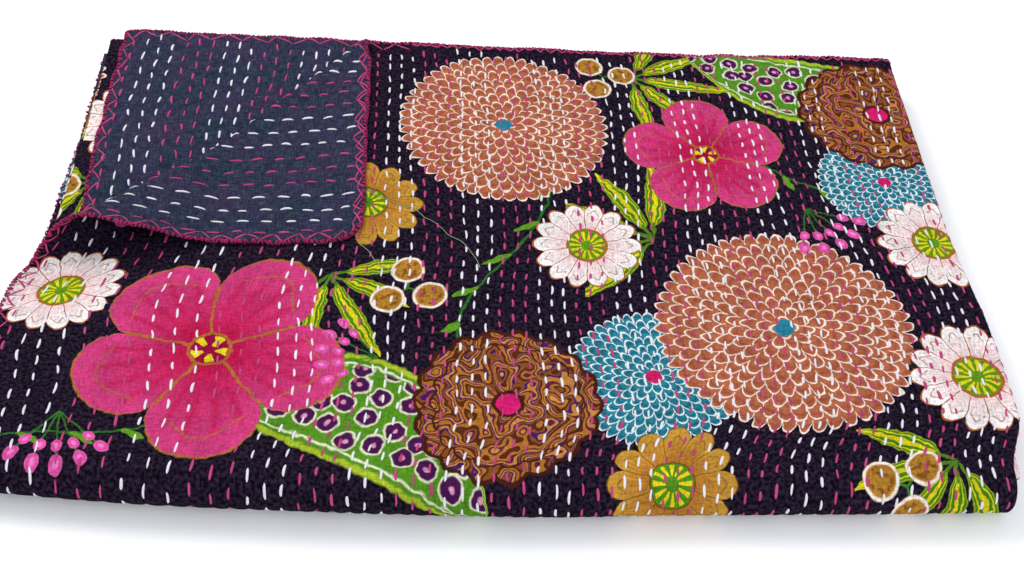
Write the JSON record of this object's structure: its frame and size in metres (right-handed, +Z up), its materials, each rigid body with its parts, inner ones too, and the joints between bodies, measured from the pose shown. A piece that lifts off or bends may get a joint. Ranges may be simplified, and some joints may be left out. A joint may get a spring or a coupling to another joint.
{
  "type": "kantha quilt",
  "caption": "Kantha quilt of printed cotton, folded into a flat bundle, with one corner of its top layer turned over to show the plain dark reverse",
  "frame": {"origin": "on the surface the quilt rests on, below the middle of the folded bundle's outline", "axes": "+X to the right along the long side, +Y to the back where the hems lie, +Z up"},
  "size_m": [0.615, 0.4024, 0.0577],
  "materials": {
    "face_cloth": "printed cotton, matt",
    "backing_cloth": "plain cotton, matt"
  },
  "bodies": {
    "root": {"face_cloth": "face_cloth", "backing_cloth": "backing_cloth"}
  },
  "joints": []
}
